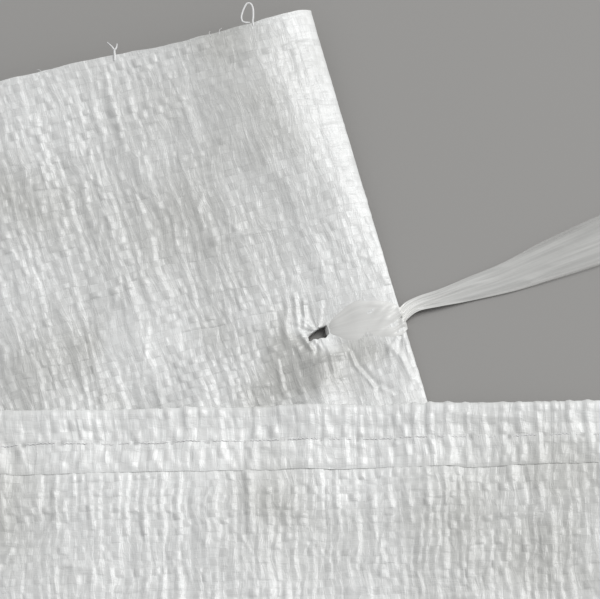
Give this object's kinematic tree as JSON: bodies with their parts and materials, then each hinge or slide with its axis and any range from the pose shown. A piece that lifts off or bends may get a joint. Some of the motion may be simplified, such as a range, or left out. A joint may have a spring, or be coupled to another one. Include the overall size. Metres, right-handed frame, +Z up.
{
  "type": "woven sandbag",
  "caption": "Empty woven plastic sandbag with a stitched bottom hem, an open heat-cut mouth and a film tie, folded over once and lying flat.",
  "frame": {"origin": "on the floor, under the middle of the folded bag", "axes": "+X along the hem to the side where the tie leaves, +Y from the fold towards the mouth, +Z up"},
  "size_m": [0.4756, 0.4348, 0.0091],
  "materials": {
    "woven_tape_fabric": "semi-gloss white woven polypropylene tape",
    "sewing_thread": "white spun thread",
    "tie_film": "glossy translucent white film"
  },
  "bodies": {
    "root": {"woven_bag": "woven_tape_fabric", "hem_thread": "sewing_thread", "tie_film": "tie_film"}
  },
  "joints": []
}
